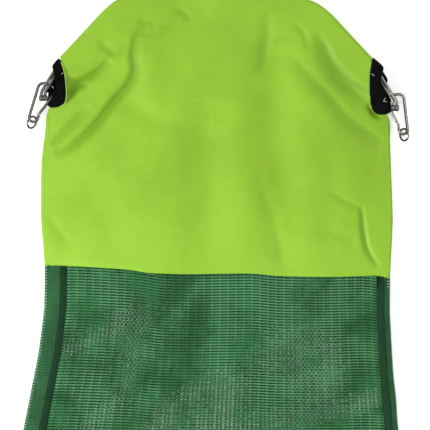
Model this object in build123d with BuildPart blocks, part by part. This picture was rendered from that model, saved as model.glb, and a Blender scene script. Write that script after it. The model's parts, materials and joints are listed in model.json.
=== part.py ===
"""A catch bag with a hinged wire mouth: a coated cloth upper, a knitted mesh lower, and a snap hook at
each end of the mouth. It lies flat on its back. X runs across it, Y from its foot to its mouth, and Z up.
All sizes are in millimetres."""

import os
from math import cos, radians, sin

from build123d import *

# Cloth
CLOTH = 1.5  # a laid panel, with its loft
SEAM_HEIGHT = 4.5  # a side seam, where the front and back cloths are folded together
SIDE_SEAM_WIDTH = 8.0
MESH_BAND_WIDTH = 19.0
HEM_HALF_WIDTH = 4.0  # the hem lies this far above and below the waist line
FLAP_GAP = 1.6  # from the hinge line to the cloth above it
HEM_FOLD = 0.6  # the front hem is this much thicker than the cloth
FOOT_MIDDLE_HEIGHT = 5.5  # the mesh, where it meets the foot seam

# Wire mouth: two hoops, one above the other, hinged together at their ends
WIRE_RADIUS = 1.8
SLEEVE_RADIUS = 4.4
SLEEVE_BORE = 1.9
SLEEVE_START = 4.0  # from a hoop's shoulder to the end of its sleeve
FRONT_WIRE_Z = 14.4
BACK_WIRE_Z = 4.5
LEG_SPACING = 4.8  # between the two hoops' ends, along the hinge line
LUG_RADIUS = 4.0
LUG_BORE = 1.65
RIVET_RADIUS = 1.6
RIVET_HEAD_RADIUS = 3.0
RIVET_HEAD_HEIGHT = 1.0
RIVET_RIM = 0.3
RIVET_PLAY = 0.1  # between each rivet head and its lug
WASHER_RADIUS = 3.6
WASHER_THICKNESS = 1.0
STRAIGHT_LEG = 8.0  # each hoop's ends leave the hinge line squarely for this far
LEVEL_LEG = 20.0  # the back hoop then runs this far beside the front one, and drops to its own level

# Snap hooks
HOOK_Z = 7.3
ROD_RADIUS = 1.9
HOOK_TOP = 58.1
HOOK_FOOT = 6.5
FOOT_RADIUS = 5.0
NOSE_RADIUS = 8.8
TOP_RADIUS = 7.0
FOOT_MIDDLE = -1.5
NOSE = (12.6, 46.5)
GATE_PIVOT = (3.7, 19.0)
GATE_END_GAP = 0.5
FOOT_HALF_WIDTH = 5.4  # from the foot's middle to its corners
TOP_CORNER = -9.5  # the hook's outer top corner
TONGUE_THICKNESS = 1.4
TONGUE_RADIUS = 1.7
TONGUE_LENGTH = 3.2
ROD_END = 2.6  # from the gate's pivot down to the rod's end
FORK_SLOT = 1.7
FORK_START = -2.3  # the fork's slot, measured along the gate from its pivot
FORK_END = 3.3
GATE_PIN_RADIUS = 0.8
GATE_PIN_BORE = 0.84
SPRING_RADIUS = 0.75
SPRING_WIRE_RADIUS = 0.2
SPRING_PITCH = 1.0
SPRING_START = 3.7
SPRING_LENGTH = 6.6
SPRING_BORE = 1.1
SPRING_BORE_LENGTH = 7.8
RING_RADIUS = 7.6
RING_WIRE_RADIUS = 1.3
RING_TILT = 50.0
RING_DROP = 1.0  # the ring's middle hangs this far below the hook's foot
STRAP_THICKNESS = 1.2
STRAP_WIDTH = 5.0
STRAP_DROP = 1.2  # the strap lies this far below the hook's swing point
STRAP_CORNER = 1.5
STRAP_CLEARANCE = 0.4  # above and below the hook's rod
STRAP_OUTER_SLOT = 9.0  # the strap's slot reaches this far from the hook's swing point, away from the bag
STRAP_INNER_SLOT = 8.0  # and this far towards the bag
STRAP_ROOT = 12.0  # where the strap joins the bag
STRAP_POINT = (11.2, 54.5)  # where the strap holds the hook, which swings about it

PATCH_Z = 16.7

HINGE_LEFT = Vector(-218.5, 219.0, FRONT_WIRE_Z)
HINGE_RIGHT = Vector(236.4, 205.9, FRONT_WIRE_Z)
HINGE_LINE = (HINGE_RIGHT - HINGE_LEFT).normalized()
UPWARD = Vector(-HINGE_LINE.Y, HINGE_LINE.X, 0)  # square to the hinge line, towards the mouth
SHOULDER_LEFT = (-196.0, 264.0)
SHOULDER_RIGHT = (207.0, 262.0)
BACK_SHOULDER_LEFT = (-193.5, 262.5)
BACK_SHOULDER_RIGHT = (204.5, 260.5)
ARCH = [(-127.0, 338.0), (-50.0, 365.6), (62.0, 365.6), (141.5, 332.5)]
ARCH_RADII = [40.0, 150.0, 150.0, 30.0]
SHOULDER_RADIUS = 12.0

# The bag's outline in pairs of points, left and right, from the hinge line down to the foot.
# Each pair also has the height of the front cloth's top at its edges and at its middle.
UPPER_STATIONS = [
    ((-186.0, 216.0), (205.0, 204.9), 15.15, 15.65),
    ((-211.0, 204.0), (227.5, 194.0), SEAM_HEIGHT, 17.0),
    ((-219.5, 137.0), (230.0, 133.0), SEAM_HEIGHT, 21.0),
    ((-220.2, 69.0), (232.5, 62.0), SEAM_HEIGHT, 21.0),
    ((-215.0, 4.5), (228.6, -11.3), SEAM_HEIGHT, 19.0),
]
MESH_STATIONS = [
    ((-215.5, -50.0), (228.8, -60.0), SEAM_HEIGHT, 19.0),
    ((-222.7, -106.0), (231.5, -112.0), SEAM_HEIGHT, 19.0),
    ((-236.8, -176.6), (237.3, -178.0), SEAM_HEIGHT, 18.0),
    ((-252.9, -262.0), (245.0, -262.0), SEAM_HEIGHT, 16.0),
    ((-247.0, -322.0), (241.0, -322.0), SEAM_HEIGHT, 12.0),
]
FOOT_LEFT = (-200.0, -370.0)
FOOT_RIGHT = (194.0, -370.0)
FOOT_SEAM_LEFT = (-208.0, -350.0)
FOOT_SEAM_RIGHT = (202.0, -350.0)

# The black corner patches: outlines of the front piece, of the small piece below the hinge line,
# and of the piece on the back.
PATCHES = {
    "left_front_patch": [
        (-197.0, 267.5), (-204.3, 259.8), (-201.5, 253.0), (-203.5, 245.0), (-207.0, 234.0),
        (-205.0, 222.0), (-187.5, 221.6), (-187.5, 238.0), (-190.7, 252.0),
    ],
    "right_front_patch": [
        (210.0, 266.0), (218.6, 258.6), (216.0, 251.0), (218.5, 244.0), (226.5, 226.0),
        (226.5, 208.4), (206.5, 208.9), (204.0, 224.0), (205.0, 246.0),
    ],
}
SIDE_PATCHES = {
    "left_side_patch": [
        (-187.0, 215.0), (-190.0, 212.0), (-197.0, 208.6), (-205.0, 207.0), (-209.5, 209.5),
        (-211.0, 214.0), (-209.0, 217.0), (-190.0, 217.0),
    ],
    "right_side_patch": [
        (207.0, 202.5), (213.0, 199.0), (220.0, 197.5), (229.0, 199.5), (231.0, 203.0),
        (209.0, 203.5),
    ],
}
BACK_PATCHES = {
    "left_back_patch": [
        (-197.5, 263.0), (-203.5, 256.0), (-207.0, 238.0), (-211.0, 216.0), (-209.5, 208.5),
        (-197.0, 207.5), (-187.0, 215.0), (-186.0, 232.0), (-190.0, 252.0),
    ],
    "right_back_patch": [
        (208.5, 261.0), (214.5, 254.0), (222.0, 236.0), (231.0, 206.0), (230.0, 199.0),
        (215.0, 197.5), (204.0, 205.0), (203.0, 224.0), (205.0, 246.0),
    ],
}

HOOKS = {
    "left": {
        "plane": Plane(
            origin=(-231.7, 182.4, HOOK_Z),
            x_dir=(cos(radians(19.7)), -sin(radians(19.7)), 0),
            z_dir=(0, 0, 1),
        ),
        "inward": 1,
    },
    "right": {
        "plane": Plane(
            origin=(245.8, 166.4, HOOK_Z),
            x_dir=(-cos(radians(9.5)), -sin(radians(9.5)), 0),
            z_dir=(0, 0, -1),
        ),
        "inward": -1,
    },
}


def save(part, name):
    """Labels a finished piece and writes its STEP file."""
    part.label = name
    export_step(part, f"parts/{name}.step")


def inset(station, width):
    """A station's two points, moved in towards each other by width."""
    left, right = Vector(*station[0]), Vector(*station[1])
    step = (right - left).normalized() * width
    return ((left + step).X, (left + step).Y), ((right - step).X, (right - step).Y)


def section_plane(left, right):
    """The upright plane through two points of the outline, with its Y up."""
    across = (Vector(*right, 0) - Vector(*left, 0)).normalized()
    middle = (Vector(*right, 0) + Vector(*left, 0)) / 2
    return Plane(origin=middle, x_dir=across, z_dir=across.cross(Vector(0, 0, 1)))


def front_cloth(stations, width, thickness):
    """A panel of the front, arched across the bag, through the given stations."""
    with BuildPart() as cloth:
        for station in stations:
            left, right = inset(station, width if station[2] == SEAM_HEIGHT else 0.0)
            half = (Vector(*right) - Vector(*left)).length / 2
            edge, middle = station[2], station[3]
            with BuildSketch(section_plane(left, right)):
                with BuildLine():
                    ThreePointArc((-half, edge), (0, middle), (half, edge))
                    Line((half, edge), (half, edge - thickness))
                    ThreePointArc(
                        (half, edge - thickness),
                        (0, middle - thickness),
                        (-half, edge - thickness),
                    )
                    Line((-half, edge - thickness), (-half, edge))
                make_face()
        loft(ruled=True)
    return cloth.part


def shifted(station, distance):
    """A station moved along Y."""
    (xl, yl), (xr, yr), edge, middle = station
    return (xl, yl + distance), (xr, yr + distance), edge, middle


def flat_piece(points, bottom, height):
    """A flat piece of cloth with the given outline."""
    with BuildPart() as piece:
        with BuildSketch(Plane.XY.offset(bottom)):
            with BuildLine():
                Polyline(*points, close=True)
            make_face()
        extrude(amount=height)
    return piece.part


def edge_strip(stations, side, width, height):
    """The folded strip along one side of the bag, side 0 on the left and 1 on the right."""
    outer = [station[side] for station in stations]
    inner = [inset(station, width)[side] for station in stations]
    return flat_piece(outer + inner[::-1], 0.0, height)


def front_wire_points():
    """The front hoop's corners, from its left end to its right."""
    points = [HINGE_LEFT, HINGE_LEFT + UPWARD * STRAIGHT_LEG]
    points += [Vector(*point, FRONT_WIRE_Z) for point in (SHOULDER_LEFT, *ARCH, SHOULDER_RIGHT)]
    return points + [HINGE_RIGHT + UPWARD * STRAIGHT_LEG, HINGE_RIGHT]


def back_wire_points():
    """The back hoop's corners: its ends lie beside the front hoop's, and the rest below it."""
    legs = []
    for end, shoulder, low, sign in (
        (HINGE_LEFT, SHOULDER_LEFT, BACK_SHOULDER_LEFT, 1),
        (HINGE_RIGHT, SHOULDER_RIGHT, BACK_SHOULDER_RIGHT, -1),
    ):
        lug = end + HINGE_LINE * LEG_SPACING * sign
        bend = lug + UPWARD * STRAIGHT_LEG
        along = (Vector(*shoulder, FRONT_WIRE_Z) - end - UPWARD * STRAIGHT_LEG).normalized()
        legs.append([lug, bend, bend + along * LEVEL_LEG, Vector(*low, BACK_WIRE_Z)])
    arch = [Vector(*point, BACK_WIRE_Z) for point in ARCH]
    return legs[0] + arch + legs[1][::-1]


def hoop(points, radii):
    """A wire hoop with a drilled lug on each end. The lugs' holes lie along the hinge line."""
    thickness = 2 * WIRE_RADIUS
    lug_planes = [
        Plane(origin=end - HINGE_LINE * thickness / 2, z_dir=HINGE_LINE)
        for end in (points[0], points[-1])
    ]
    with BuildPart() as wire:
        with BuildLine() as path:
            FilletPolyline(*points, radius=radii)
        with BuildSketch(Plane(origin=path.line @ 0, z_dir=path.line % 0)):
            Circle(WIRE_RADIUS)
        sweep(path=path.line)
        for plane in lug_planes:
            with BuildSketch(plane):
                Circle(LUG_RADIUS)
            extrude(amount=thickness)
        for plane in lug_planes:
            with BuildSketch(plane.offset(-thickness)):
                Circle(LUG_BORE)
            extrude(amount=3 * thickness, mode=Mode.SUBTRACT)
    return wire.part


def beyond(shoulder, corner, distance):
    """A point this far from a hoop's shoulder, on the way to the arch's nearest corner."""
    return Vector(*shoulder) + (Vector(*corner) - Vector(*shoulder)).normalized() * distance


def sleeve(shoulders, z, bore):
    """The cloth tube round the arched part of a hoop. A bore of 0 gives the whole tube, to cut with."""
    height = Vector(0, 0, z)
    points = [beyond(shoulders[0], ARCH[0], SLEEVE_START) + height]
    points += [Vector(*point, z) for point in ARCH]
    points.append(beyond(shoulders[1], ARCH[-1], SLEEVE_START) + height)
    with BuildPart() as tube:
        with BuildLine() as path:
            FilletPolyline(*points, radius=ARCH_RADII)
        with BuildSketch(Plane(origin=path.line @ 0, z_dir=path.line % 0)):
            Circle(SLEEVE_RADIUS)
            if bore:
                Circle(bore, mode=Mode.SUBTRACT)
        sweep(path=path.line)
    return tube.part


def mouth_cloth(corners, shoulders, bottom, z):
    """The cloth inside a hoop, from its sleeve down to the given corners, left to right."""
    with BuildPart() as cloth:
        with BuildSketch(Plane.XY.offset(bottom)):
            with BuildLine():
                arch = FilletPolyline(
                    beyond(shoulders[0], ARCH[0], SLEEVE_START),
                    *ARCH,
                    beyond(shoulders[1], ARCH[-1], SLEEVE_START),
                    radius=ARCH_RADII,
                )
                ends = [
                    arch @ place + (arch % place).rotate(Axis.Z, -90) * 1.5 * SLEEVE_RADIUS
                    for place in (1, 0)
                ]
                Polyline(arch @ 1, ends[0], *corners[::-1], ends[1], arch @ 0)
            make_face()
        extrude(amount=CLOTH)
        add(sleeve(shoulders, z, 0), mode=Mode.SUBTRACT)
    return cloth.part


def hinge_y(x):
    """Where the hinge line is at x."""
    return HINGE_LEFT.Y + (x - HINGE_LEFT.X) * HINGE_LINE.Y / HINGE_LINE.X


def foot_band():
    """The band round the foot of the mesh, with its two rounded corners."""
    left, right = MESH_STATIONS[-1][0], MESH_STATIONS[-1][1]
    inner_left, inner_right = inset(MESH_STATIONS[-1], MESH_BAND_WIDTH)
    with BuildPart() as band:
        with BuildSketch():
            with BuildLine():
                Line(inner_left, left)
                TangentArc(left, FOOT_LEFT, tangent=(4, -55))
                Line(FOOT_LEFT, FOOT_RIGHT)
                TangentArc(right, FOOT_RIGHT, tangent=(-4, -55))
                Line(right, inner_right)
                Line(inner_right, FOOT_SEAM_RIGHT)
                Line(FOOT_SEAM_RIGHT, FOOT_SEAM_LEFT)
                Line(FOOT_SEAM_LEFT, inner_left)
            make_face()
        extrude(amount=SEAM_HEIGHT)
    return band.part


def back_upper_outline():
    """The back of the upper cloth, from the waist to the patches."""
    stations = UPPER_STATIONS[1:-1] + [shifted(UPPER_STATIONS[-1], HEM_HALF_WIDTH)]
    left = [inset(station, SIDE_SEAM_WIDTH)[0] for station in stations]
    right = [inset(station, SIDE_SEAM_WIDTH)[1] for station in stations]
    return [(-186.0, 216.5)] + left + right[::-1] + [(203.0, 205.5)]


def rivet(end, sign):
    """The hinge rivet at one end of the mouth, through both hoops' lugs. sign is 1 on the left."""
    outer = end - HINGE_LINE * sign * (WIRE_RADIUS + RIVET_PLAY)
    length = LEG_SPACING + 2 * (WIRE_RADIUS + RIVET_PLAY)
    direction = HINGE_LINE * sign
    with BuildPart() as pin:
        with BuildSketch(Plane(origin=outer, z_dir=direction)):
            Circle(RIVET_RADIUS)
        extrude(amount=length)
        with BuildSketch(Plane(origin=outer - direction * RIVET_HEAD_HEIGHT, z_dir=direction)):
            Circle(RIVET_HEAD_RADIUS)
        extrude(amount=RIVET_HEAD_HEIGHT)
        with BuildSketch(Plane(origin=outer + direction * length, z_dir=direction)):
            Circle(RIVET_HEAD_RADIUS)
        extrude(amount=RIVET_HEAD_HEIGHT)
        rims = pin.faces().filter_by(Plane(origin=(0, 0, 0), z_dir=direction)).sort_by(SortBy.AREA)
        chamfer(rims[-2:].edges().group_by(SortBy.LENGTH)[-1], RIVET_RIM)
    return pin.part


def washer(end, sign):
    """The thin washer between the two lugs."""
    middle = end + HINGE_LINE * sign * LEG_SPACING / 2
    start = middle - HINGE_LINE * WASHER_THICKNESS / 2
    with BuildPart() as disc:
        with BuildSketch(Plane(origin=start, z_dir=HINGE_LINE)):
            Circle(WASHER_RADIUS)
            Circle(LUG_BORE, mode=Mode.SUBTRACT)
        extrude(amount=WASHER_THICKNESS)
    return disc.part


def hook(plane):
    """The bent rod of a snap hook, from its nose round to the tongue that carries the gate."""
    lean = (NOSE[0] - GATE_PIVOT[0]) / (NOSE[1] - GATE_PIVOT[1])
    nose_corner = NOSE[0] + lean * (HOOK_TOP - NOSE[1])  # the nose points straight at the gate
    corners = [
        NOSE,
        (nose_corner, HOOK_TOP),
        (TOP_CORNER, HOOK_TOP),
        (FOOT_MIDDLE - FOOT_HALF_WIDTH, HOOK_FOOT),
        (FOOT_MIDDLE + FOOT_HALF_WIDTH, HOOK_FOOT),
        (GATE_PIVOT[0], GATE_PIVOT[1] - ROD_END),
    ]
    with BuildPart() as rod:
        with BuildLine(plane) as path:
            FilletPolyline(*corners, radius=[NOSE_RADIUS, TOP_RADIUS, FOOT_RADIUS, FOOT_RADIUS])
        with BuildSketch(Plane(origin=path.line @ 0, z_dir=path.line % 0)):
            Circle(ROD_RADIUS)
        sweep(path=path.line)
        with BuildSketch(plane.offset(-TONGUE_THICKNESS / 2)):
            with Locations(GATE_PIVOT):
                Circle(TONGUE_RADIUS)
            with Locations((GATE_PIVOT[0], GATE_PIVOT[1] - TONGUE_LENGTH / 2)):
                Rectangle(2 * TONGUE_RADIUS, TONGUE_LENGTH)
        extrude(amount=TONGUE_THICKNESS)
        with BuildSketch(plane.offset(-TONGUE_THICKNESS)):
            with Locations(GATE_PIVOT):
                Circle(GATE_PIN_BORE)
        extrude(amount=2 * TONGUE_THICKNESS, mode=Mode.SUBTRACT)
    return rod.part


def gate_frame(plane):
    """The gate's own plane: its origin at the pivot and its X along the gate, towards the nose."""
    pivot = plane.from_local_coords(Vector(*GATE_PIVOT, 0))
    nose = plane.from_local_coords(Vector(*NOSE, 0))
    return Plane(origin=pivot, x_dir=nose - pivot, z_dir=plane.z_dir)


def gate(plane):
    """The straight gate, forked round the tongue and bored for its spring."""
    length = (Vector(*NOSE) - Vector(*GATE_PIVOT)).length - GATE_END_GAP
    own = gate_frame(plane)
    along = Plane(origin=own.origin, x_dir=own.z_dir, z_dir=own.x_dir)
    with BuildPart() as bar:
        with BuildSketch(along):
            Circle(ROD_RADIUS)
        extrude(amount=length)
        with BuildSketch(own.offset(-ROD_RADIUS)):
            Circle(ROD_RADIUS)
        extrude(amount=2 * ROD_RADIUS)
        with BuildSketch(own.offset(-FORK_SLOT / 2)):
            with Locations(((FORK_START + FORK_END) / 2, 0)):
                Rectangle(FORK_END - FORK_START, 3 * ROD_RADIUS)
        extrude(amount=FORK_SLOT, mode=Mode.SUBTRACT)
        with BuildSketch(along.offset(FORK_END)):
            Circle(SPRING_BORE)
        extrude(amount=SPRING_BORE_LENGTH, mode=Mode.SUBTRACT)
        with BuildSketch(own.offset(-2 * ROD_RADIUS)):
            Circle(GATE_PIN_BORE)
        extrude(amount=4 * ROD_RADIUS, mode=Mode.SUBTRACT)
    return bar.part


def gate_pin(plane):
    """The pin that the gate turns on."""
    own = gate_frame(plane)
    with BuildPart() as pin:
        with BuildSketch(own.offset(-ROD_RADIUS)):
            Circle(GATE_PIN_RADIUS)
        extrude(amount=2 * ROD_RADIUS)
    return pin.part


def gate_spring(plane):
    """The small coil spring inside the gate, which pushes it shut."""
    own = gate_frame(plane)
    start = own.from_local_coords(Vector(SPRING_START, 0, 0))
    along = Plane(origin=start, x_dir=own.z_dir, z_dir=own.x_dir)
    with BuildPart() as spring:
        with BuildLine() as coil:
            Helix(
                pitch=SPRING_PITCH,
                height=SPRING_LENGTH,
                radius=SPRING_RADIUS,
                center=start,
                direction=along.z_dir,
            )
        with BuildSketch(Plane(origin=coil.line @ 0, z_dir=coil.line % 0)):
            Circle(SPRING_WIRE_RADIUS)
        sweep(path=coil.line, is_frenet=True)
    return spring.part


def ring(plane):
    """The round ring threaded on the hook's foot, leaning over it."""
    middle = plane.from_local_coords(Vector(FOOT_MIDDLE, HOOK_FOOT - RING_DROP, 0))
    lean = radians(RING_TILT)
    normal = Vector(0, 0, 1) * cos(lean) + plane.x_dir * sin(lean)
    own = Plane(origin=middle, x_dir=plane.y_dir, z_dir=normal)
    with BuildPart(own) as loop:
        Torus(RING_RADIUS, RING_WIRE_RADIUS)
    return loop.part


def strap(plane, inward):
    """The short black strap that holds the hook's top bend to the corner of the bag."""
    held = plane.from_local_coords(Vector(*STRAP_POINT, 0))
    half_slot = ROD_RADIUS + STRAP_CLEARANCE
    slot = held.X - inward * STRAP_OUTER_SLOT
    outer = slot - inward * STRAP_THICKNESS
    slot_end = held.X + inward * STRAP_INNER_SLOT
    root = held.X + inward * STRAP_ROOT
    start = held.Y - STRAP_DROP - STRAP_WIDTH / 2
    front = Plane(origin=(0, start, 0), x_dir=(1, 0, 0), z_dir=(0, -1, 0))
    with BuildPart() as loop:
        with BuildSketch(front):
            with Locations(((outer + root) / 2, HOOK_Z)):
                RectangleRounded(abs(root - outer), 2 * (half_slot + STRAP_THICKNESS), STRAP_CORNER)
            with Locations(((slot + slot_end) / 2, HOOK_Z)):
                Rectangle(abs(slot_end - slot), 2 * half_slot, mode=Mode.SUBTRACT)
        extrude(amount=-STRAP_WIDTH)
    return loop.part


os.makedirs("parts", exist_ok=True)

# Upper cloth
upper = UPPER_STATIONS[:-1] + [shifted(UPPER_STATIONS[-1], HEM_HALF_WIDTH)]
save(front_cloth(upper, SIDE_SEAM_WIDTH, CLOTH), "front_upper_panel")
front_shoulders = (SHOULDER_LEFT, SHOULDER_RIGHT)
back_shoulders = (BACK_SHOULDER_LEFT, BACK_SHOULDER_RIGHT)
flap_corners = [(x, hinge_y(x) + FLAP_GAP) for x in (-186.0, 203.0)]
flap_bottom = FRONT_WIRE_Z - CLOTH / 2
save(mouth_cloth(flap_corners, front_shoulders, flap_bottom, FRONT_WIRE_Z), "front_flap_panel")
with BuildPart() as back_upper:
    add(mouth_cloth([(-186.0, 216.5), (203.0, 205.5)], back_shoulders, 0.0, BACK_WIRE_Z))
    add(flat_piece(back_upper_outline(), 0.0, CLOTH))
    for outline in BACK_PATCHES.values():
        add(flat_piece(outline, -1.0, 4.0), mode=Mode.SUBTRACT)
save(back_upper.part, "back_upper_panel")
hem_foot = shifted(UPPER_STATIONS[-1], -HEM_HALF_WIDTH)
seam_stations = UPPER_STATIONS[1:-1] + [hem_foot]
save(edge_strip(seam_stations, 0, SIDE_SEAM_WIDTH, SEAM_HEIGHT), "left_side_seam")
save(edge_strip(seam_stations, 1, SIDE_SEAM_WIDTH, SEAM_HEIGHT), "right_side_seam")

# Waist hems
hem_head = shifted(UPPER_STATIONS[-1], HEM_HALF_WIDTH)
save(front_cloth([hem_head, hem_foot], SIDE_SEAM_WIDTH, CLOTH + HEM_FOLD), "front_waist_hem")
hem_ends = [inset(hem_head, SIDE_SEAM_WIDTH), inset(hem_foot, SIDE_SEAM_WIDTH)]
back_hem = [hem_ends[0][0], hem_ends[1][0], hem_ends[1][1], hem_ends[0][1]]
save(flat_piece(back_hem, 0.0, CLOTH), "back_waist_hem")

# Mesh lower
mesh = [hem_foot] + MESH_STATIONS
foot_station = (
    (FOOT_SEAM_LEFT[0] - MESH_BAND_WIDTH, FOOT_SEAM_LEFT[1]),
    (FOOT_SEAM_RIGHT[0] + MESH_BAND_WIDTH, FOOT_SEAM_RIGHT[1]),
    SEAM_HEIGHT,
    FOOT_MIDDLE_HEIGHT,
)
save(front_cloth(mesh + [foot_station], MESH_BAND_WIDTH, CLOTH), "front_mesh_panel")
back_mesh = [inset(station, MESH_BAND_WIDTH) for station in mesh + [foot_station]]
back_mesh_outline = [pair[0] for pair in back_mesh] + [pair[1] for pair in back_mesh[::-1]]
save(flat_piece(back_mesh_outline, 0.0, CLOTH), "back_mesh_panel")
save(edge_strip(mesh, 0, MESH_BAND_WIDTH, SEAM_HEIGHT), "left_mesh_band")
save(edge_strip(mesh, 1, MESH_BAND_WIDTH, SEAM_HEIGHT), "right_mesh_band")
save(foot_band(), "foot_seam")

# Wire mouth
front_radii = [STRAIGHT_LEG, SHOULDER_RADIUS, *ARCH_RADII, SHOULDER_RADIUS, STRAIGHT_LEG]
save(hoop(front_wire_points(), front_radii), "front_jaw_wire")
leg_radii = [STRAIGHT_LEG, SHOULDER_RADIUS, SHOULDER_RADIUS]
back_radii = leg_radii + ARCH_RADII + leg_radii[::-1]
save(hoop(back_wire_points(), back_radii), "back_jaw_wire")
save(sleeve(front_shoulders, FRONT_WIRE_Z, SLEEVE_BORE), "front_wire_sleeve")
save(sleeve(back_shoulders, BACK_WIRE_Z, SLEEVE_BORE), "back_wire_sleeve")
for side, end, sign in (("left", HINGE_LEFT, 1), ("right", HINGE_RIGHT, -1)):
    save(rivet(end, sign), f"{side}_hinge_rivet")
    save(washer(end, sign), f"{side}_hinge_washer")

# Corner patches
for name, outline in PATCHES.items():
    save(flat_piece(outline, PATCH_Z, CLOTH), name)
for name, outline in SIDE_PATCHES.items():
    save(flat_piece(outline, CLOTH, SEAM_HEIGHT - CLOTH), name)
for name, outline in BACK_PATCHES.items():
    with BuildPart() as back_patch:
        add(flat_piece(outline, 0.0, CLOTH))
        add(sleeve(back_shoulders, BACK_WIRE_Z, 0), mode=Mode.SUBTRACT)
    save(back_patch.part, name)

# Snap hooks
for side, place in HOOKS.items():
    save(hook(place["plane"]), f"{side}_hook")
    save(gate(place["plane"]), f"{side}_gate")
    save(gate_pin(place["plane"]), f"{side}_gate_pin")
    save(gate_spring(place["plane"]), f"{side}_gate_spring")
    save(ring(place["plane"]), f"{side}_ring")
    save(strap(place["plane"], place["inward"]), f"{side}_hook_strap")
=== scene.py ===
"""The looks of a catch bag with a hinged wire mouth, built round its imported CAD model.

The bag lies on its back. X runs across it, Y from its foot to its mouth, and Z up. Everything is in metres.
The cloth and the knitted mesh are made here, and the wires, hooks and rings are the CAD model's own."""

import json
from math import cos, pi, radians, sin

import bpy
import numpy as np
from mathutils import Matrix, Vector


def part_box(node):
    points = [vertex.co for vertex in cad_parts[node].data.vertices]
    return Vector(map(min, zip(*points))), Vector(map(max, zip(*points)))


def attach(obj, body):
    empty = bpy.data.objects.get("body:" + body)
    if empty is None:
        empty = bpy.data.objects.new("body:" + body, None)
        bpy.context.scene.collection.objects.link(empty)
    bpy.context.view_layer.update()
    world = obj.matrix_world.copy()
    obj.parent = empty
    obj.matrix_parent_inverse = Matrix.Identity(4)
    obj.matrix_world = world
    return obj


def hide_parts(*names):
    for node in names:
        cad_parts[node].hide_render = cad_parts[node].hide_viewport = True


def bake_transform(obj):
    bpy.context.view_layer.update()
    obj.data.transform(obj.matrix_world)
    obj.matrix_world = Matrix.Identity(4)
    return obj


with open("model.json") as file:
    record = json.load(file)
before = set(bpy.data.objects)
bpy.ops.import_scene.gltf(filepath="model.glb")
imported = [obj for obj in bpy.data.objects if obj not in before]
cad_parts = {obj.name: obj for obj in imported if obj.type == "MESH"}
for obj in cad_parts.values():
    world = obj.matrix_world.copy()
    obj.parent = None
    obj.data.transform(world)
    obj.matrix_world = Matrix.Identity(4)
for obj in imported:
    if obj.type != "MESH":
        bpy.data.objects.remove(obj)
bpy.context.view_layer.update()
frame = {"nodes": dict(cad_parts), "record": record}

MM = 0.001
UP = np.array([0.0, 0.0, 1.0])
SPAN_STEPS = 12  # the steps between two points of a smooth curve
STEEP = 0.95  # a thread is steep if its direction's upright part reaches this

# Cloth
CLOTH = 0.7 * MM
HEM_HALF_WIDTH = 4.0 * MM  # the CAD hem lies this far above and below the waist line
LOWEST_FRONT = 3.0 * MM  # the front cloth never sinks below this, into the back one
HEM_ROWS = 7  # how many rows of points the cloth has that is turned under at the waist
SLEEVE_RADIUS = 4.4 * MM
SLEEVE_TAIL = 9.0 * MM  # how far the cloth reaches back inside the bag, past its sleeve
SLEEVE_TURN = 195  # how far it goes round the wire first, in degrees
SIDE_EDGE = 3.4 * MM  # the height of the front cloth at the side seams
FRONT_MIDDLES = (16.5 * MM, 18.2 * MM, 18.6 * MM, 18.6 * MM)  # its height down the middle, from the waist up
BACK_EDGES = (1.4 * MM, 1.2 * MM, 1.0 * MM)  # the height of the back cloth's edges, from the waist up
ARCH_POWER = 2.4  # a higher power makes the bag's section squarer
TUCK = 4.5 * MM  # how far the cloth reaches under the corner patches

# Seams and stitches
SEAM_WIDTH = 8.0 * MM
STITCH_PITCH = 3.2 * MM
STITCH_LENGTH = 2.3 * MM
HEM_STITCHES = 8.5 * MM  # the row of stitches is this far above the waist line
OVERLOCK_PITCH = 3.7 * MM
OVERLOCK_HEIGHT = 3.4 * MM

# Knitted mesh: the cells of its front and its back
FRONT_CELLS = (78, 98)
BACK_CELLS = (76, 97)
FRONT_HOLE = (0.72, 0.20)  # a hole's width and height, as parts of its cell
BACK_HOLE = (0.62, 0.20)
BACK_DRIFT = 0.9 * MM  # the back mesh's rows stray from the front's, so that light comes through in patches
# the heights of each net: at its sides, at the middle of its waist, and at its foot
FRONT_NET_HEIGHTS = (4.6 * MM, 10.6 * MM, 2.4 * MM)
BACK_NET_HEIGHTS = (1.0 * MM, 1.0 * MM, 1.0 * MM)
YARN = 0.5 * MM
BAND_WIDTHS = {"left": 32.0 * MM, "right": 20.0 * MM}
NET_OVERLAP = 3.0 * MM  # how far the mesh lies on its bands
WAIST_OVERLAP = 7.0 * MM  # how far the mesh and its bands reach up under the hem
BACK_OVERLAP = 8.9 * MM  # the back mesh reaches half a row further, so that the two layers' rows differ there
FOOT_OVERLAP = 18.0 * MM  # how far the bands reach down under the foot seam

# How far the waist's edge hangs below the straight line between its ends, by its place across the bag
WAIST_PLACES = [0.0, 0.07, 0.22, 0.27, 0.31, 0.41, 0.49, 0.59, 0.63, 0.69, 0.83, 0.95, 1.0]
WAIST_DROPS = [0.0, -0.4, 1.0, 2.9, 4.7, 4.5, 2.7, 0.7, 1.3, 2.6, 1.6, -1.2, 0.0]

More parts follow.
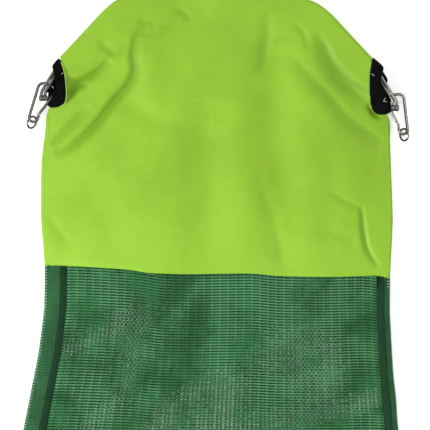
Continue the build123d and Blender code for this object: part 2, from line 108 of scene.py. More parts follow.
# Folds in the front cloth: points in millimetres, the widths on the left and right of the fold's
# direction, and the depth. A negative depth makes a ridge.
FOLDS = [
    # broad soft waves, which run from the mouth to the waist
    ([(-86, 300), (-84, 262), (-80, 232), (-66, 200)], 24.0, 14.0, -1.6),
    ([(2, 215), (-4, 150), (-6, 80), (-10, -12)], 30.0, 32.0, 4.6),
    ([(66, 322), (78, 262), (84, 180), (88, 100), (92, -14)], 28.0, 28.0, 4.6),
    ([(-130, 225), (-60, 188), (0, 196)], 14.0, 14.0, 1.4),
    ([(-150, 120), (-130, 60), (-124, 5)], 24.0, 20.0, 1.4),
    ([(160, 150), (150, 80), (152, 5)], 22.0, 18.0, 1.2),
    # the long fold on the left, from near the mouth down to the side
    ([(-82, 306), (-90, 305), (-97, 297), (-101, 275), (-99.5, 256), (-105, 240), (-116, 226), (-130, 210),
      (-146, 189), (-165, 170), (-184, 155), (-202, 149)], 7.0, 5.0, 3.4),
    ([(-158, 208), (-184, 182), (-206, 160)], 8.0, 5.0, 1.8),
    # short folds that leave the left patch
    ([(-188, 241), (-170, 241.5), (-155, 248), (-144, 256), (-130, 268)], 4.0, 6.0, 2.8),
    ([(-186, 221), (-177, 230), (-168, 235), (-158, 236)], 4.0, 5.0, 2.4),
    ([(-144, 294), (-135, 283), (-123, 276.5), (-114, 280), (-110, 292)], 4.0, 6.0, 1.1),
    # puckers below the mouth on the left
    ([(-96, 318), (-83, 316), (-71, 315)], 4.0, 6.0, 1.0),
    ([(-47, 335), (-33, 326), (-29, 317)], 4.0, 7.0, 1.1),
    ([(-66, 306), (-55, 311), (-42, 322)], 5.0, 6.0, 0.7),
    # the long folds that run into the right patch
    ([(132, 300), (141, 289), (155, 263), (169, 247), (187, 233), (205, 226)], 6.0, 15.0, 3.2),
    ([(99, 275), (127, 245), (150, 222), (173, 196), (197, 178), (223, 160)], 6.0, 13.0, 1.8),
    ([(199, 211), (208, 200), (218, 193)], 3.0, 4.0, 1.5),
    # sharper creases in the waves
    ([(69, 330), (71, 310), (69, 285), (63, 250)], 5.0, 10.0, 1.3),
    ([(107, 314), (119, 298), (123, 280)], 4.0, 6.0, 1.3),
    ([(80, 294), (97, 297), (113, 295)], 4.0, 5.0, 0.6),
    ([(57, 126), (72, 84), (82, 60)], 8.0, 9.0, 1.0),
    ([(76, 70), (86, 36), (93, -6)], 8.0, 9.0, 1.0),
    # the creases by the waist's ends
    ([(148, 100), (171, 88), (190, 76)], 4.0, 5.0, 0.9),
    ([(192, 82), (195, 48), (200, 25), (214, 3)], 3.0, 4.0, 2.8),
    ([(122, 48), (150, 46), (184, 36)], 6.0, 7.0, 0.8),
    ([(-212, 72), (-197, 48), (-178, 24)], 6.0, 7.0, 0.7),
]
FOLD_STRENGTH = 1.5
SHARP_WIDTH = 7.5  # a fold narrower than this on either side is a sharp crease, which gets painted shade

# The black corner patches, in millimetres: what lies over the cloth and the wire, and what lies behind them
FRONT_PATCHES = {
    "left": [(-196.0, 270.5), (-204.3, 259.8), (-201.8, 253), (-200.5, 246), (-199.5, 236),
             (-200.5, 226), (-205, 217), (-209, 212), (-207.5, 207), (-197, 207.5), (-189.5, 212),
             (-187, 221), (-187.5, 238), (-190, 254)],
    "right": [(206.0, 270.0), (218, 258.8), (215.5, 252), (212.5, 245), (216, 236), (221, 226),
              (226.5, 212), (229, 204), (226, 199.5), (215, 198), (207.5, 202), (204, 211),
              (202.5, 224), (202.5, 246), (203.5, 258)],
}
BACK_PATCHES = {
    "left": [(-197.5, 263), (-204.5, 256), (-206.5, 248), (-209, 236), (-211.5, 220), (-212, 213),
             (-209, 208), (-197, 207.5), (-187.5, 213), (-186, 232), (-190, 252)],
    "right": [(208.5, 262), (216, 257.5), (221, 251.5), (225.5, 243), (223.5, 237), (226, 226),
              (229.5, 213), (230.5, 203), (224, 199), (212, 199), (205, 207), (203, 224), (205, 246)],
}
PATCH_YS = [200.0, 209.0, 217.0, 226.0, 268.0]
PATCH_HEIGHTS = [12.2, 13.8, 17.6, 19.1, 19.4]  # the front patches' height at each of those
UNDER_PATCH_HEIGHT = 1.9 * MM
PATCH_RINGS = 9
PATCH_RIM = 0.82  # a patch's rim drops from this far out, from 0, its middle, to 1, its outline
STRAP_CORNER = 2.4 * MM
STRAP_HALF_THICKNESS = 0.5 * MM
PATCH_STITCHES = {
    "left": [((-192.6, 249.6), (-188.8, 251.0))],
    "right": [
        ((203.6, 249.6), (207.4, 246.9)),
        ((219.0, 214.8), (224.0, 213.6)),
        ((219.4, 215.2), (221.6, 219.0)),
    ],
}

# Camera, floor and sky
CAMERA_HEIGHT = 3.012
CAMERA_LENS = 196.0
SENSOR = 36.0
CAMERA_AIM = (0.0038, 0.0691)
LIGHT_AIM = (0.0, 0.05, 0.0)
FLOOR_SIZE = 6.0
FLOOR_HEIGHT = -0.2 * MM  # just clear of the lowest piece
FLOOR_GLOW = 0.45  # the floor shines a little by itself, so that shadows stay faint
SKY_STRENGTH = 0.68

# The sky's brightness by height, from 0, the horizon, to 1, overhead. Its bright ring shows in the steel.
SKY = [
    (0.0, 0.1), (0.18, 0.15), (0.34, 1.25), (0.66, 1.25),
    (0.78, 0.15), (0.93, 0.15), (0.96, 1.4), (1.0, 1.4),
]

SIDES = (("left", -1), ("right", 1))


# ---------------------------------------------------------------- reading the CAD model


def arrays(node):
    """A CAD node's points and edges."""
    mesh = frame["nodes"][node].data
    points = np.zeros(len(mesh.vertices) * 3)
    mesh.vertices.foreach_get("co", points)
    edges = np.zeros(len(mesh.edges) * 2, int)
    mesh.edges.foreach_get("vertices", edges)
    return points.reshape(-1, 3), edges.reshape(-1, 2)


def cut(node, axis, value):
    """The points where a CAD node's edges cross the plane at this value of an axis."""
    points, edges = arrays(node)
    start, end = points[edges[:, 0]], points[edges[:, 1]]
    before, after = start[:, axis] - value, end[:, axis] - value
    crossing = before * after < 0
    share = before[crossing] / (before[crossing] - after[crossing])
    return start[crossing] + (end[crossing] - start[crossing]) * share[:, None]


def outer_x(node, y, sign):
    """How far a CAD node reaches at y, to the left if sign is -1 and to the right if it is 1."""
    return sign * (sign * cut(node, 1, y)[:, 0]).max()


def outer_y(node, x, sign):
    """How far a CAD node reaches at x, towards the foot if sign is -1 and the mouth if it is 1."""
    return sign * (sign * cut(node, 0, x)[:, 1]).max()


# ---------------------------------------------------------------- curves


def rounded(points, count):
    """A smooth curve through the points, as evenly spaced points."""
    points = np.asarray(points, float)
    padded = np.vstack([2 * points[0] - points[1], points, 2 * points[-1] - points[-2]])
    curve = []
    for i in range(len(points) - 1):
        a, b, c, d = padded[i : i + 4]
        squared, cubed = 2 * a - 5 * b + 4 * c - d, 3 * b - a - 3 * c + d
        for t in np.linspace(0, 1, SPAN_STEPS, endpoint=False):
            curve.append(0.5 * (2 * b + (c - a) * t + squared * t**2 + cubed * t**3))
    curve.append(points[-1])
    return spaced(np.array(curve), np.linspace(0, 1, count))


def spaced(curve, places):
    """Points of a curve at these places along its length, from 0 to 1."""
    steps = np.linalg.norm(np.diff(curve, axis=0), axis=1)
    along = np.concatenate([[0.0], np.cumsum(steps)])
    along /= along[-1]
    return np.stack([np.interp(places, along, curve[:, axis]) for axis in range(3)], 1)


def outward(curve):
    """The level normals of a curve, on the left of its direction."""
    tangents = np.gradient(curve, axis=0)
    normals = np.stack([-tangents[:, 1], tangents[:, 0], np.zeros(len(curve))], 1)
    return normals / np.linalg.norm(normals, axis=1)[:, None]


def sampled(curve, places):
    """Points of a curve at these places along its list of points, from 0 to 1."""
    steps = np.linspace(0, 1, len(curve))
    return np.stack([np.interp(places, steps, curve[:, axis]) for axis in range(3)], -1)


def fill(corners, lower, upper, west, east, u, v):
    """The points at u and v, from 0 to 1, of the surface between four edges.

    It takes the edges' own points at those places, and the corners from the lower left to the upper right."""
    u, v = u[..., None], v[..., None]
    between_corners = (1 - u) * (1 - v) * corners[0] + u * (1 - v) * corners[1]
    between_corners = between_corners + (1 - u) * v * corners[2] + u * v * corners[3]
    return (1 - v) * lower + v * upper + (1 - u) * west + u * east - between_corners


# ---------------------------------------------------------------- making meshes


def make_object(name, points, faces, smooth=True):
    """A mesh object from points and faces."""
    mesh = bpy.data.meshes.new(name)
    mesh.from_pydata([tuple(p) for p in points], [], [tuple(int(i) for i in f) for f in faces])
    mesh.update()
    if smooth:
        mesh.polygons.foreach_set("use_smooth", [True] * len(mesh.polygons))
    piece = bpy.data.objects.new(name, mesh)
    bpy.context.scene.collection.objects.link(piece)
    return piece


def grid_faces(rows, columns, closed=False):
    """The faces of a grid of points. A closed grid's last column joins its first."""
    across = columns if closed else columns - 1
    faces = []
    for i in range(rows - 1):
        for j in range(across):
            k = (j + 1) % columns
            faces.append((i * columns + j, i * columns + k, (i + 1) * columns + k, (i + 1) * columns + j))
    return faces


def settle(piece):
    """Applies a piece's modifiers to its mesh."""
    evaluated = piece.evaluated_get(bpy.context.evaluated_depsgraph_get())
    mesh = bpy.data.meshes.new_from_object(evaluated)
    piece.modifiers.clear()
    piece.data = mesh


def thicken(piece, thickness, offset):
    """Gives a sheet its thickness: below it if the offset is -1, above it if 1, and both ways if 0."""
    solid = piece.modifiers.new("thickness", "SOLIDIFY")
    solid.thickness = thickness
    solid.offset = offset
    settle(piece)


def set_uv(piece, pairs):
    """Writes a UV map from one pair of numbers per point."""
    layer = piece.data.uv_layers.new(name="cells")
    corners = np.zeros(len(piece.data.loops), int)
    piece.data.loops.foreach_get("vertex_index", corners)
    layer.data.foreach_set("uv", np.asarray(pairs, np.float32)[corners].ravel())


def tubes(name, paths, radius, sides):
    """Round threads along several open paths, as one object. A steep thread can't take its sides from UP."""
    points, faces = [], []
    for path in paths:
        path = np.asarray(path, float)
        tangents = np.gradient(path, axis=0)
        tangents /= np.linalg.norm(tangents, axis=1)[:, None]
        base = len(points)
        steep = abs(tangents[:, 2]).max() >= STEEP
        guide = np.array([0.3, 0.9, 0.3]) if steep else UP
        for place, tangent in zip(path, tangents):
            first = np.cross(tangent, guide)
            first /= np.linalg.norm(first)
            second = np.cross(tangent, first)
            for k in range(sides):
                turn = 2 * pi * k / sides
                points.append(place + radius * (first * cos(turn) + second * sin(turn)))
        count = len(path)
        for i in range(count - 1):
            a, b = base + i * sides, base + (i + 1) * sides
            for k in range(sides):
                faces.append((a + k, b + k, b + (k + 1) % sides, a + (k + 1) % sides))
        faces.append([base + k for k in range(sides)])
        faces.append([base + (count - 1) * sides + k for k in reversed(range(sides))])
    return make_object(name, points, faces)


# ---------------------------------------------------------------- materials


class Nodes:
    """A new material's nodes, made and joined in a few words."""

    def __init__(self, name):
        self.material = bpy.data.materials.new(name)
        self.material.use_nodes = True
        self.tree = self.material.node_tree
        self.shader = self.tree.nodes["Principled BSDF"]
        self.place = self.add("ShaderNodeTexCoord").outputs["Object"]

    def add(self, kind, inputs=None, **settings):
        """A node with its settings, and its inputs set to values or joined to other nodes' outputs."""
        node = self.tree.nodes.new(kind)
        for key, value in settings.items():
            setattr(node, key, value)
        for key, value in (inputs or {}).items():
            self.give(node.inputs[key], value)
        return node

    def give(self, socket, value):
        """Sets a socket to a value, or joins it to another node's output."""
        if isinstance(value, bpy.types.NodeSocket):
            self.tree.links.new(value, socket)
        else:
            socket.default_value = value

    def noise(self, scale, detail=3.0, roughness=0.55):
        """A noise texture's value. The scale is in features per metre."""
        inputs = {"Vector": self.place, "Scale": scale, "Detail": detail, "Roughness": roughness}
        return self.add("ShaderNodeTexNoise", inputs).outputs["Fac"]

    def bands(self, direction, pitch, distortion=0.0):
        """Parallel bands, this pitch apart in metres."""
        inputs = {"Vector": self.place, "Scale": 0.314 / pitch, "Distortion": distortion}
        return self.add("ShaderNodeTexWave", inputs, bands_direction=direction).outputs["Fac"]

    def math(self, operation, a, b=0.0, c=0.0):
        """Arithmetic on one to three values."""
        return self.add("ShaderNodeMath", {0: a, 1: b, 2: c}, operation=operation).outputs[0]

    def ramp(self, value, low, high, to_low=0.0, to_high=1.0):
        """The value mapped smoothly from one range to another."""
        inputs = {"Value": value, "From Min": low, "From Max": high, "To Min": to_low, "To Max": to_high}
        return self.add("ShaderNodeMapRange", inputs, interpolation_type="SMOOTHSTEP").outputs["Result"]

    def mix(self, share, a, b):
        """A mix of two colours."""
        mixed = self.add("ShaderNodeMix", data_type="RGBA")
        self.give(mixed.inputs[0], share)
        self.give(mixed.inputs[6], a)
        self.give(mixed.inputs[7], b)
        return mixed.outputs[2]

    def finish(self, colour, roughness, height=None, depth=0.0003, strength=0.6, **shader_inputs):
        """Joins colour, roughness and bump to the shader, and sets its other inputs."""
        self.give(self.shader.inputs["Base Color"], colour)
        self.give(self.shader.inputs["Roughness"], roughness)
        if height is not None:
            bump = self.add("ShaderNodeBump", {"Height": height, "Distance": depth, "Strength": strength})
            self.give(self.shader.inputs["Normal"], bump.outputs["Normal"])
        for key, value in shader_inputs.items():
            self.shader.inputs[key.replace("_", " ")].default_value = value
        return self.material


def rgba(red, green, blue):
    """A colour given as it looks on a screen, from 0 to 255, in the shader's linear form."""
    parts = [part / 255 for part in (red, green, blue)]
    return tuple(p / 12.92 if p <= 0.04045 else ((p + 0.055) / 1.055) ** 2.4 for p in parts) + (1.0,)


def coated_cloth():
    """Lime green coated cloth: a fine weave under a semi-matte coat, with scuffs and soft blotches. Painted
    shade darkens its sharp creases, and painted light makes it paler towards the waist.
    """
    m = Nodes("lime_cloth")
    blotches = m.ramp(m.noise(14.0, 4.0), 0.35, 0.68)
    mottle = m.ramp(m.noise(160.0, 3.0), 0.4, 0.7, 0.0, 0.35)
    weave = m.math("MULTIPLY", m.bands("X", 0.9 * MM, 0.4), m.bands("Y", 0.9 * MM, 0.4))
    scuffs = m.ramp(m.noise(60.0, 8.0, 0.75), 0.62, 0.74, 0.0, 0.22)
    # painted shade: the cloth is painted darker along its sharp creases, by their depth
    creases = m.math("MULTIPLY", m.add("ShaderNodeAttribute", attribute_name="painted_crease_shade").outputs["Fac"], 0.55)
    # painted light: the cloth is painted paler towards the waist, where more light falls
    along = m.add("ShaderNodeSeparateXYZ", {"Vector": m.place}).outputs["Y"]
    painted_light_at_waist = m.ramp(along, -0.01, 0.13, 0.6, 0.0)
    shaded, lit, mottled = rgba(139, 185, 40), rgba(148, 195, 47), rgba(144, 192, 52)
    # the fifth colour is the painted crease shade, and the last one is the painted light at the waist
    scuffed, crease_shade_colour, pale = rgba(160, 207, 70), rgba(92, 140, 14), rgba(156, 208, 56)
    colour = m.mix(mottle, m.mix(blotches, shaded, lit), mottled)
    colour = m.mix(creases, m.mix(scuffs, colour, scuffed), crease_shade_colour)
    colour = m.mix(painted_light_at_waist, colour, pale)
    wrinkles = m.noise(90.0, 5.0, 0.6)
    height = m.math("ADD", m.math("MULTIPLY", weave, 0.35), m.math("MULTIPLY", wrinkles, 1.1))
    roughness = m.ramp(m.noise(35.0, 4.0), 0.3, 0.7, 0.42, 0.56)
    return m.finish(colour, roughness, height, 0.6 * MM, 0.5, Specular_IOR_Level=0.3)


def knitted_mesh(name, painted_shade_factor):
    """Knitted green mesh. Its UV map counts cells, so the yarns follow the holes. The yarns' crests carry a
    painted highlight, and a lower shade factor paints the whole mesh darker as painted shade.
    """
    m = Nodes(name)
    cells = m.add("ShaderNodeTexCoord").outputs["UV"]
    parts = m.add("ShaderNodeSeparateXYZ", {"Vector": cells})
    across, along = parts.outputs["X"], parts.outputs["Y"]
    row = m.math("ABSOLUTE", m.math("SUBTRACT", m.math("FRACT", m.math("ADD", along, 0.5)), 0.5))
    # painted highlight: the crest of each row and the middle of each dash are painted lighter, more in some
    # patches than in others
    crest = m.ramp(row, 0.0, 0.30, 1.0, 0.0)
    off_middle = m.math("ABSOLUTE", m.math("SUBTRACT", m.math("FRACT", across), 0.5))
    dash = m.ramp(off_middle, 0.12, 0.46, 1.0, 0.45)
    chance = m.ramp(m.noise(17.0, 4.0, 0.6), 0.40, 0.60)
    painted_highlight_share = m.math("ADD", m.math("MULTIPLY", chance, 0.7), 0.3)
    light = m.math("MULTIPLY", m.math("MULTIPLY", crest, dash), painted_highlight_share)
    # a lower factor paints the whole mesh darker, as painted shade
    dark = rgba(20 * painted_shade_factor, 78 * painted_shade_factor, 34 * painted_shade_factor)
    middle = rgba(38 * painted_shade_factor, 104 * painted_shade_factor, 54 * painted_shade_factor)
    bright = rgba(116 * painted_shade_factor, 174 * painted_shade_factor, 130 * painted_shade_factor)
    colour = m.mix(m.ramp(m.noise(26.0, 4.0), 0.35, 0.65), dark, middle)
    colour = m.mix(light, colour, bright)
    fibres = m.math("ADD", m.noise(2200.0, 2.0), crest)
    return m.finish(colour, 0.52, fibres, 0.4 * MM, 0.7, Specular_IOR_Level=0.2)


def folded_mesh(name, fold):
    """The folded mesh of the bands, with fine upright yarns. Painted shade darkens it where more plies of
    mesh lie together.

    Its UV map has the distance from the outer edge in millimetres, and fold is where the painted shade
    begins."""
    m = Nodes(name)
    edge = m.add("ShaderNodeSeparateXYZ", {"Vector": m.add("ShaderNodeTexCoord").outputs["UV"]}).outputs["X"]
    # painted shade over the inner fold, where the plies lie together
    painted_layer_shade = m.ramp(m.math("ADD", edge, m.math("MULTIPLY", m.noise(60.0), 2.0)), fold, fold + 2.4)
    yarns = m.bands("X", 1.7 * MM, 1.2)
    rows = m.bands("Y", 3.5 * MM, 0.8)
    colour = m.mix(m.ramp(m.noise(45.0, 5.0), 0.35, 0.65), rgba(30, 84, 44), rgba(42, 100, 58))
    colour = m.mix(m.math("MULTIPLY", yarns, 0.4), colour, rgba(24, 68, 36))
    colour = m.mix(m.math("MULTIPLY", rows, 0.14), colour, rgba(84, 138, 96))
    colour = m.mix(m.math("MULTIPLY", painted_layer_shade, 0.85), colour, rgba(12, 50, 24))
    height = m.math("ADD", yarns, m.math("MULTIPLY", rows, 0.7))
    return m.finish(colour, 0.55, height, 0.4 * MM, 0.7, Specular_IOR_Level=0.15)


def webbing():
    """Matt black webbing with a close ribbed weave and a little lint."""
    m = Nodes("black_webbing")
    ribs = m.math("MULTIPLY", m.bands("Y", 1.1 * MM, 0.6), m.bands("X", 0.9 * MM, 0.6))
    lint = m.ramp(m.noise(900.0, 2.0), 0.68, 0.74, 0.0, 0.5)
    colour = m.mix(m.ramp(m.noise(90.0, 4.0), 0.3, 0.7), rgba(5, 6, 5), rgba(13, 14, 13))
    colour = m.mix(m.math("MULTIPLY", ribs, 0.4), colour, rgba(20, 21, 20))
    colour = m.mix(lint, colour, rgba(46, 46, 48))
    return m.finish(colour, 0.85, ribs, 0.4 * MM, 0.8, Specular_IOR_Level=0.06)


def thread(name, light, dark):
    """Twisted sewing thread."""
    m = Nodes(name)
    twist = m.bands("DIAGONAL", 0.45 * MM, 0.5)
    colour = m.mix(m.math("MULTIPLY", twist, 0.6), light, dark)
    return m.finish(colour, 0.6, twist, 0.15 * MM, 0.6)


def metal(name, light, dark, roughness, rough_high):
    """Metal with fine drawing streaks and a duller film in places. Painted reflection keeps its upper faces
    in the light colour, and painted shade makes its sides dark.
    """
    m = Nodes(name)
    facing = m.add("ShaderNodeSeparateXYZ", {"Vector": m.add("ShaderNodeNewGeometry").outputs["Normal"]})
    # painted reflection and shade: faces that point up take the light colour and the sides take the dark one,
    # as if they mirrored a dark room round an overhead light
    painted_light_on_top = m.ramp(m.math("ADD", facing.outputs["Z"], m.math("MULTIPLY", m.noise(500.0), 0.2)), 0.86, 1.08)
    film = m.ramp(m.noise(240.0, 5.0, 0.65), 0.35, 0.7)
    scratches = m.noise(700.0, 8.0, 0.7)
    filmed = [0.6 * part for part in light[:3]] + [1.0]
    colour = m.mix(painted_light_on_top, dark, m.mix(film, light, filmed))
    dullness = m.ramp(m.noise(420.0, 6.0, 0.7), 0.35, 0.7, roughness, rough_high)
    return m.finish(colour, dullness, scratches, 0.05 * MM, 0.35, Metallic=1.0)


def nylon():
    """Black moulded nylon."""
    m = Nodes("washer_nylon")
    grain = m.noise(1800.0, 3.0)
    colour = m.mix(grain, rgba(20, 20, 20), rgba(38, 38, 40))
    return m.finish(colour, 0.45, grain, 0.05 * MM, 0.4)


def paper_floor():
    """A plain pale floor with the faintest grain."""
    m = Nodes("pale_floor")
    colour = m.mix(m.noise(3.0, 2.0), (0.93, 0.93, 0.93, 1.0), (0.96, 0.96, 0.96, 1.0))
    glow = {"Emission_Color": (1.0, 1.0, 1.0, 1.0), "Emission_Strength": FLOOR_GLOW}
    return m.finish(colour, 0.9, m.noise(60.0, 2.0), 0.2 * MM, 0.1, Specular_IOR_Level=0.1, **glow)


MATERIALS = {
    "lime_cloth": coated_cloth(),
    "green_mesh": knitted_mesh("green_mesh", 1.0),
    # the back mesh is the same mesh in painted shade
    "shaded_green_mesh_back": knitted_mesh("shaded_green_mesh_back", 0.8),
    "left_mesh_edge": folded_mesh("left_mesh_edge", 19.5),
    "right_mesh_edge": folded_mesh("right_mesh_edge", 6.5),
    "foot_mesh_edge": folded_mesh("foot_mesh_edge", 40.0),
    "black_webbing": webbing(),
    "lime_thread": thread("lime_thread", rgba(188, 232, 112), rgba(150, 205, 70)),
    "green_thread": thread("green_thread", rgba(190, 222, 198), rgba(128, 180, 142)),
    "white_thread": thread("white_thread", rgba(226, 226, 220), rgba(180, 180, 172)),
    # in each metal, the first colour is the metal's own and the second is the painted shade of its sides
    "frame_wire": metal("frame_wire", (0.36, 0.36, 0.33, 1.0), (0.08, 0.08, 0.07, 1.0), 0.26, 0.38),
    "hook_steel": metal("hook_steel", (0.42, 0.405, 0.35, 1.0), (0.045, 0.043, 0.035, 1.0), 0.06, 0.18),
    "rivet_steel": metal("rivet_steel", (0.24, 0.24, 0.22, 1.0), (0.06, 0.06, 0.055, 1.0), 0.28, 0.42),
    "spring_steel": metal("spring_steel", (0.6, 0.6, 0.58, 1.0), (0.4, 0.4, 0.38, 1.0), 0.2, 0.35),
    "washer_nylon": nylon(),
}

HARD_SLOTS = ("frame_wire", "hook_steel", "rivet_steel", "spring_steel", "washer_nylon")


def dress(piece, material):
    """Gives a new piece its material."""
    piece.data.materials.clear()
    piece.data.materials.append(MATERIALS[material])


def dress_cad_nodes():
    """Gives every metal and nylon CAD node its full material."""
    for subpart in frame["record"]["subparts"]:
        slot = subpart["material_slot"]
        if slot in HARD_SLOTS:
            mesh = frame["nodes"][subpart["node"]].data
            mesh.materials.clear()
            mesh.materials.append(MATERIALS[slot])


# ---------------------------------------------------------------- upper cloth


def bend(piece):
    """Bakes a piece's placement into its mesh."""
    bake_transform(piece)


def waist_line(count):
    """The lower edge of the upper cloth, from left to right, at the height of the front."""
    ends = []
    for side, sign in SIDES:
        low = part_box(f"{side}_side_seam")[0]
        y = low.y + HEM_HALF_WIDTH
        ends.append(np.array([outer_x(f"{side}_side_seam", y + 0.1 * MM, sign), y, 0.0]))
    places = np.linspace(0, 1, count)
    line = ends[0] + (ends[1] - ends[0]) * places[:, None]
    drops = rounded(np.stack([WAIST_PLACES, WAIST_DROPS, np.zeros(len(WAIST_PLACES))], 1), 200)
    line[:, 1] -= np.interp(places, drops[:, 0], drops[:, 1]) * MM
    return line


def arch_height(places, edge, middle):
    """The height of the front across the bag, from its edges to its middle."""
    return edge + (middle - edge) * (1 - np.abs(2 * places - 1) ** ARCH_POWER)


def mouth_curve(sleeve, height, count):
    """The crest line of a wire sleeve, from its left end to its right, at this height."""
    low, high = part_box(sleeve)
    xs = np.linspace(low.x + 1.0 * MM, high.x - 1.0 * MM, 70)
    curve = np.array([(x, outer_y(sleeve, x, 1), height) for x in xs])
    curve = spaced(rounded(curve[::3], 400), np.linspace(0, 1, count))
    return curve - outward(curve) * SLEEVE_RADIUS


def side_curve(side, sign, start, end, heights, vs):
    """One side edge of the upper cloth, from the waist up past the seam and under the patch to the sleeve."""
    seam = f"{side}_side_seam"
    patch_low, patch_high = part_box(f"{side}_front_patch")
    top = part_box(seam)[1].y - 1.5 * MM
    ys = np.linspace(start[1] + 4 * MM, top, 8)
    points = [start] + [np.array([outer_x(seam, y, sign), y, heights[0]]) for y in ys]
    inner = (patch_high.x if sign < 0 else patch_low.x) + sign * TUCK
    points.append(np.array([inner + sign * 3 * MM, patch_low.y + 3 * MM, heights[1]]))
    points.append(np.array([inner, patch_low.y + 16 * MM, heights[2]]))
    points.append(np.array(end))
    return spaced(rounded(points, 300), vs)


def fold_heights(points):
    """How far the folds raise or lower the front cloth at each point, and how deep its sharp creases are,
    which sets the painted shade in them.
    """
    flat = points[:, :2] / MM
    total, sharp = np.zeros(len(flat)), np.zeros(len(flat))
    for path, left_width, right_width, depth in FOLDS:
        curve = rounded([(x, y, 0) for x, y in path], 40)[:, :2]
        nearest = np.full(len(flat), 1e9)
        side, along = np.zeros(len(flat)), np.zeros(len(flat))
        for k in range(len(curve) - 1):
            start, step = curve[k], curve[k + 1] - curve[k]
            share = np.clip((flat - start) @ step / (step @ step), 0, 1)
            gap = flat - start - share[:, None] * step
            distance = np.linalg.norm(gap, axis=1)
            closer = distance < nearest
            nearest[closer] = distance[closer]
            side[closer] = (step[0] * gap[:, 1] - step[1] * gap[:, 0])[closer]
            along[closer] = (k + share[closer]) / (len(curve) - 1)
        fade = np.sin(pi * along) ** 0.5
        width = np.where(side > 0, left_width, right_width)
        groove = depth * fade * np.exp(-((nearest / width) ** 2))
        total -= groove
        if min(left_width, right_width) < SHARP_WIDTH:
            sharp += groove
    return FOLD_STRENGTH * total * MM, np.clip(sharp / 2.8, 0, 1)


def ripples(points, seed, wavelength, height):
    """Small random waves in the cloth, the same on each run."""
    rng = np.random.default_rng(seed)
    total = np.zeros(len(points))
    for _ in range(14):
        turn, phase = rng.uniform(0, 2 * pi, 2)
        length = wavelength * rng.uniform(0.7, 1.8)
        along = points[:, 0] * cos(turn) + points[:, 1] * sin(turn)
        total += np.sin(2 * pi * along / length + phase)
    return total * height / 14**0.5


def sleeve_rows(crest, sign):
    """Rows of points that carry cloth round a wire's sleeve from its crest, and then back inside the bag.

    sign is 1 where the crest is on top of the sleeve and -1 where it is under it."""
    normal = outward(crest)
    middle = crest - np.array([0, 0, sign * SLEEVE_RADIUS])
    rows = []
    for turn in range(15, SLEEVE_TURN + 1, 15):
        angle = radians(90 - turn)
        rows.append(middle + SLEEVE_RADIUS * (normal * cos(angle) + sign * UP * sin(angle)))
    last = rows[-1]
    for step in (0.3, 0.65, 1.0):
        rows.append(last - normal * SLEEVE_TAIL * step + sign * UP * 0.6 * MM * step)
    return rows


def smooth_cloth(sleeve, height, sign, edges, middles, us, vs):
    """The grid of points of an upper cloth with no folds, from the waist up to the crest of its sleeve.

    edges are the heights of its sides, and middles are the heights down its middle, from the waist up."""
    bottom = waist_line(len(us))
    top = mouth_curve(sleeve, height + sign * SLEEVE_RADIUS, len(us))
    left = side_curve("left", -1, bottom[0], top[0], edges, vs)
    right = side_curve("right", 1, bottom[-1], top[-1], edges, vs)
    corners = (bottom[0], bottom[-1], top[0], top[-1])
    grid = fill(corners, bottom, top, left[:, None], right[:, None], us[None, :], vs[:, None])
    edge = left[:, 2:] * (1 - us) + right[:, 2:] * us
    places = np.linspace(0, 1, len(middles))
    profile = rounded([(place, middle, 0) for place, middle in zip(places, middles)], 200)
    middle = np.interp(vs, profile[:, 0], profile[:, 1])[:, None]
    grid[..., 2] = arch_height(us[None, :], edge, middle)
    return grid


def crumple(points, across, up, sign):
    """Adds the folds and small waves of a front or back cloth, and returns how deep its creases are, for the
    painted shade in them.
    """
    inside = np.clip(np.minimum(across, 1 - across) / 0.035, 0, 1)
    if sign < 0:
        points[:, 2] += np.abs(ripples(points, 5, 0.07, 0.25 * MM)) * inside * np.clip((1 - up) / 0.1, 0, 1)
        return np.zeros(len(points))
    folds, sharp = fold_heights(points)
    creases = folds + ripples(points, 3, 0.05, 0.22 * MM) + ripples(points, 4, 0.021, 0.09 * MM)
    points[:, 2] += creases * inside * np.clip((1 - up) / 0.06, 0, 1)
    points[:, 2] = np.maximum(points[:, 2], LOWEST_FRONT)
    return sharp * inside


def turned_hem(grid, sign):
    """Rows of points for the cloth that is turned under at the waist, from the waist's edge up."""
    hem = [grid[0] + np.array([0, 0.2 * MM, -0.9 * MM * sign])]
    hem += [row - UP * 1.5 * MM * sign for row in grid[1:HEM_ROWS]]
    if sign < 0:
        for row in hem:
            row[:, 2] = np.abs(row[:, 2]) + 0.4 * MM
    return hem


def upper_sheet(name, sleeve, height, sign, edges, middles, columns, rows):
    """One upper cloth as a sheet, from its turned hem at the waist to its sleeve round the wire.

    sign is 1 for the front and -1 for the back, whose sleeve lies over its wire the other way up."""
    us = np.linspace(0, 1, columns)
    vs = np.linspace(0, 1, rows) ** 0.92
    points = smooth_cloth(sleeve, height, sign, edges, middles, us, vs).reshape(-1, 3)
    depths = crumple(points, np.tile(us, rows), np.repeat(vs, columns), sign)
    grid = points.reshape(rows, columns, 3)
    hem = turned_hem(grid, sign)
    whole = hem[::-1] + list(grid) + sleeve_rows(grid[-1], sign)
    piece = make_object(name, np.concatenate(whole), grid_faces(len(whole), columns))
    # painted crease shade: the depth of each point's sharp crease, which the cloth's colour turns into
    # painted shade; none at the hem and the sleeve
    shade = np.zeros((len(whole), columns))
    shade[len(hem) : len(hem) + rows] = depths.reshape(rows, columns)
    painted_crease_shade = piece.data.attributes.new("painted_crease_shade", "FLOAT", "POINT")
    painted_crease_shade.data.foreach_set("value", shade.astype(np.float32).ravel())
    thicken(piece, CLOTH, -sign)
    return piece


